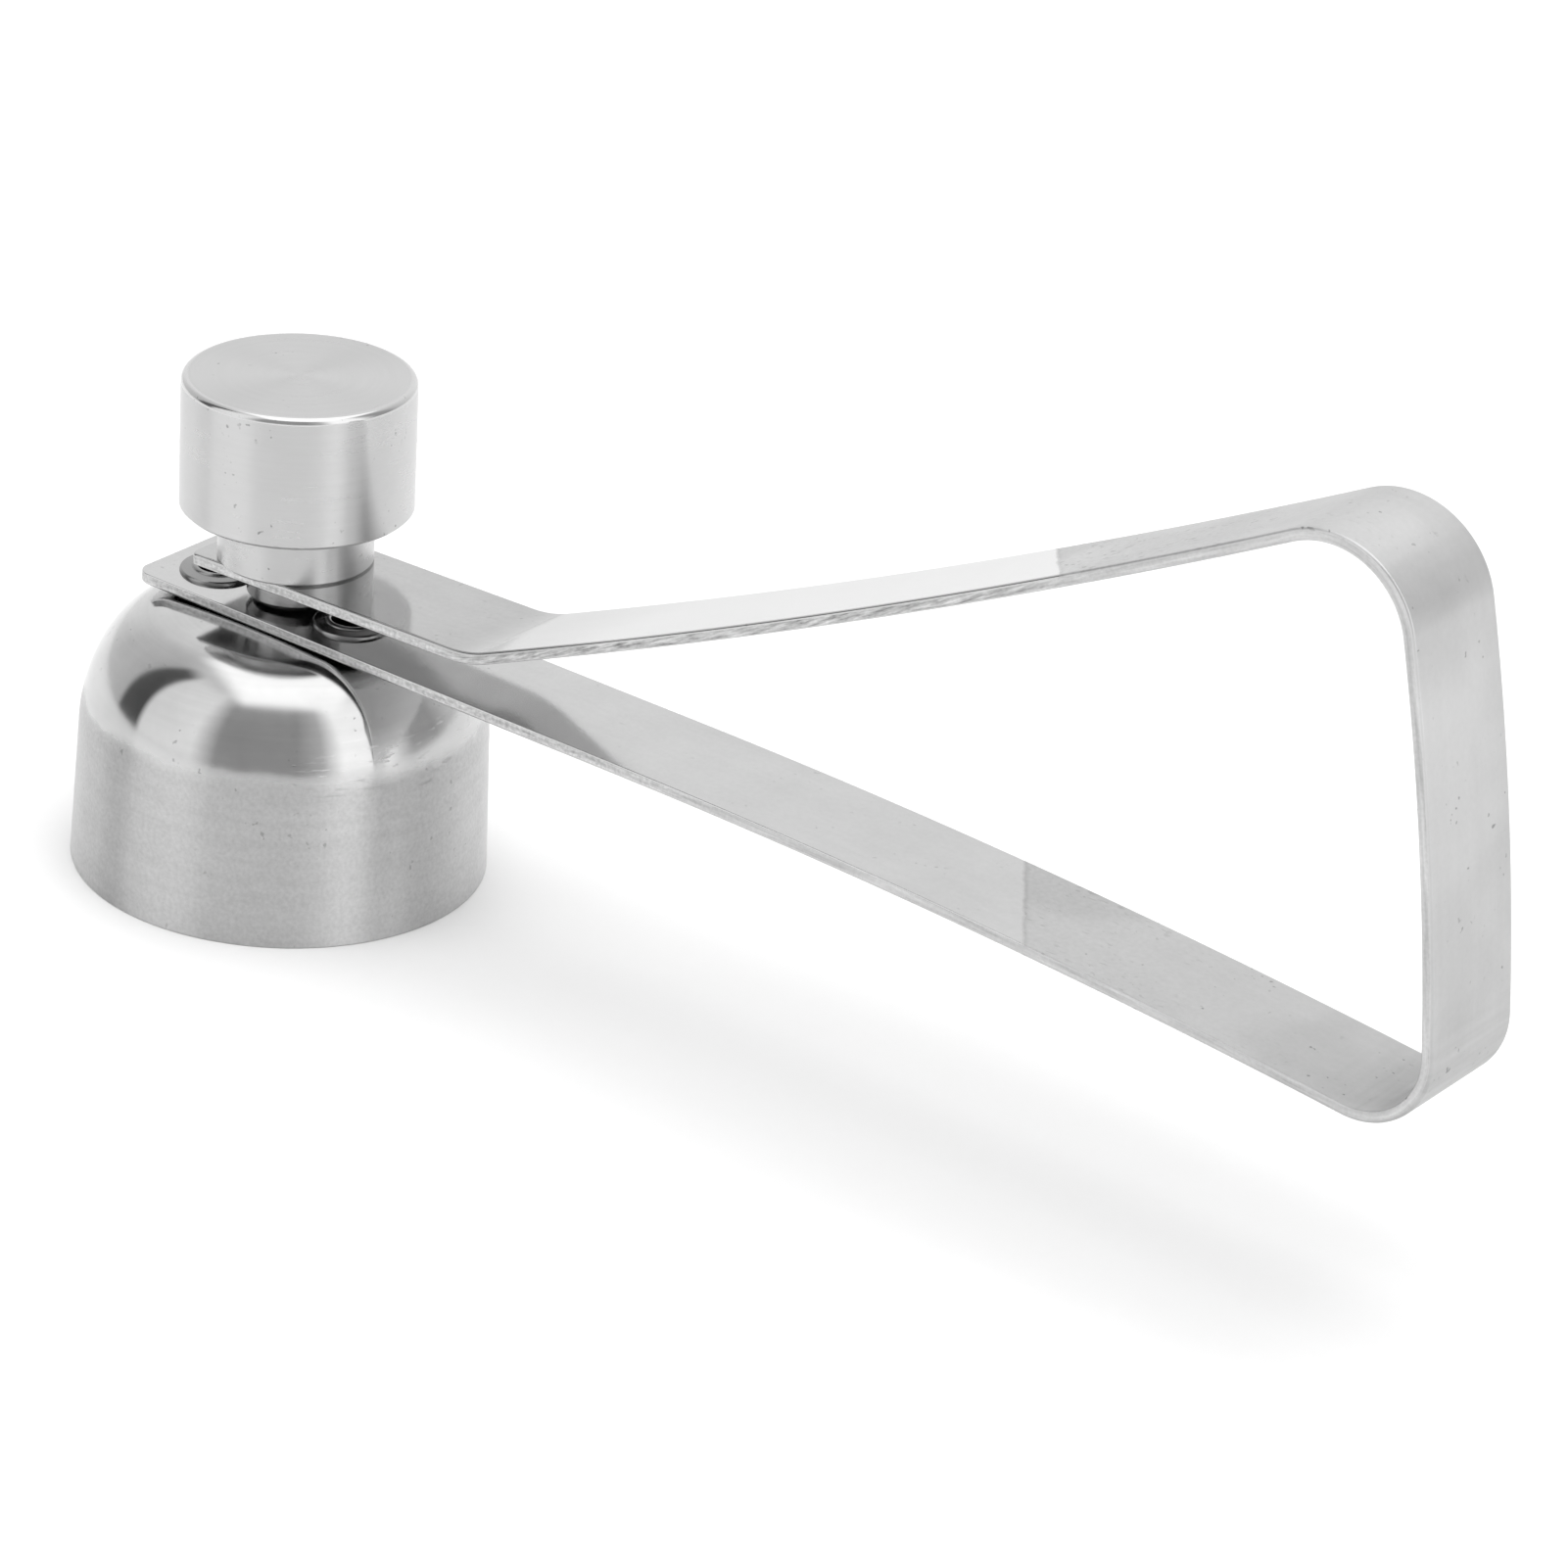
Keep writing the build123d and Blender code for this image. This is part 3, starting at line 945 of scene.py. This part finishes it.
# The soft box overhead, as the reach of its edges from straight up per unit of height: towards
# the camera, away from it, to the left and to the right.
SOFTBOX_REACH = (0.66, 0.55, 0.42, 0.60)
SOFTBOX_BLUR = 0.11
SOFTBOX_LIGHT = 1.8

# the lamp over the floor, in metres and watts, a little towards the camera
LAMP_SIZE = 1.0
LAMP_POWER = 3.3
LAMP_HEIGHT = 0.8
LAMP_FORWARD = 0.1

FLOOR_HALF_SIZE = 3.0
FLOOR_CELLS = 40


def towards_camera():
    """The level direction from the object to the camera."""
    turn = radians(CAMERA_AZIMUTH)
    return Vector((sin(turn), -cos(turn), 0))


def tent_wall_light(s, x, y):
    """The wall's brightness in a direction, from a ramp that goes once round."""
    share = s.math("MULTIPLY_ADD", s.math("ARCTAN2", y, x), 1 / (2 * pi), 0.5)
    ramp = s.node("ShaderNodeValToRGB", {"Fac": share})
    stops = ramp.color_ramp.elements
    while len(stops) > 1:
        stops.remove(stops[-1])
    for number, (angle, level) in enumerate(TENT_WALL):
        position = (angle + 180) / 360
        stop = stops[0] if number == 0 else stops.new(position)
        stop.position = position
        stop.color = (level, level, level, 1)
    return s.node("ShaderNodeSeparateColor", {0: ramp.outputs["Color"]}).outputs[0]


def softbox_mask(s, x, y, z):
    """1 in the directions of the overhead soft box, falling smoothly to 0 past its edges."""
    front = towards_camera()
    height = s.math("MAXIMUM", z, 0.01)
    nearer = add(s, times(s, x, front.x), times(s, y, front.y))
    rightward = s.math("SUBTRACT", times(s, y, front.x), times(s, x, front.y))
    sides = ((nearer, 1), (nearer, -1), (rightward, -1), (rightward, 1))
    mask = 1.0
    for (distance, sign), reach in zip(sides, SOFTBOX_REACH):
        slope = times(s, s.math("DIVIDE", distance, height), sign)
        mask = times(s, mask, s.smooth(slope, reach + SOFTBOX_BLUR, reach - SOFTBOX_BLUR))
    return mask


def studio_world():
    """The light tent that the steel mirrors. The camera itself sees a plain white backdrop."""
    world = bpy.data.worlds.new("light_tent")
    bpy.context.scene.world = world
    world.use_nodes = True
    s = Shader(world.node_tree)
    x, y, z = s.split(s.node("ShaderNodeTexCoord").outputs["Generated"])
    ceiling = s.smooth(z, sin(radians(CEILING_FROM)), sin(radians(CEILING_FULL)))
    level = s.mix(ceiling, tent_wall_light(s, x, y), TENT_CEILING)
    level = s.mix(softbox_mask(s, x, y, z), level, SOFTBOX_LIGHT)
    level = s.mix(s.smooth(z, -0.03, 0.0), TENT_BELOW, level)
    seen_directly = s.node("ShaderNodeLightPath").outputs["Is Camera Ray"]
    level = s.mix(seen_directly, level, TENT_BACKDROP)
    background = s.node("ShaderNodeBackground", {"Color": s.grey(level), "Strength": 1.0})
    output = s.node("ShaderNodeOutputWorld")
    s.put(output.inputs["Surface"], background.outputs[0])


def photograph_camera():
    """The camera at the photograph's viewing angle, fitted to the bell's rim and the outlines."""
    turn, lift, roll = radians(CAMERA_AZIMUTH), radians(CAMERA_ELEVATION), radians(CAMERA_ROLL)
    view = Vector((-sin(turn) * cos(lift), cos(turn) * cos(lift), -sin(lift)))
    level_right = Vector((cos(turn), sin(turn), 0))
    level_up = level_right.cross(view)
    right = level_right * cos(roll) + level_up * sin(roll)
    up = level_up * cos(roll) - level_right * sin(roll)
    data = bpy.data.cameras.new("camera")
    data.sensor_width = CAMERA_SENSOR
    data.lens = CAMERA_LENS
    data.clip_start = 0.01
    camera = bpy.data.objects.new("camera", data)
    bpy.context.scene.collection.objects.link(camera)
    axes = Matrix((right, up, -view)).transposed().to_4x4()
    camera.matrix_world = Matrix.Translation(CAMERA_TARGET - view * CAMERA_DISTANCE) @ axes
    bpy.context.scene.camera = camera


def overhead_lamp():
    """A soft lamp that lights the floor. The steel doesn't mirror it."""
    data = bpy.data.lights.new("overhead_lamp", "AREA")
    data.shape = "SQUARE"
    data.size = LAMP_SIZE
    data.energy = LAMP_POWER
    lamp = bpy.data.objects.new("overhead_lamp", data)
    bpy.context.scene.collection.objects.link(lamp)
    lamp.location = towards_camera() * LAMP_FORWARD + Vector((0, 0, LAMP_HEIGHT))
    lamp.visible_glossy = False


def pale_floor():
    """A wide pale sheet with a faint paper grain."""
    material, s = new_material("pale_floor")
    grain = s.noise(s.body_place(), 900.0, 3.0)
    shade = s.math("MULTIPLY_ADD", s.math("SUBTRACT", grain, 0.5), 0.01, 0.84)
    paper = s.node("ShaderNodeBsdfPrincipled", {"Base Color": s.grey(shade), "Roughness": 0.9})
    output = s.node("ShaderNodeOutputMaterial")
    s.put(output.inputs["Surface"], paper.outputs[0])
    made = bmesh.new()
    bmesh.ops.create_grid(
        made, x_segments=FLOOR_CELLS, y_segments=FLOOR_CELLS, size=FLOOR_HALF_SIZE
    )
    floor = place_mesh("floor", made)
    floor.data.materials.append(material)


studio_world()
photograph_camera()
overhead_lamp()
pale_floor()

view_settings = bpy.context.scene.view_settings
view_settings.view_transform = "Standard"
view_settings.look = "None"
view_settings.exposure = 0.0
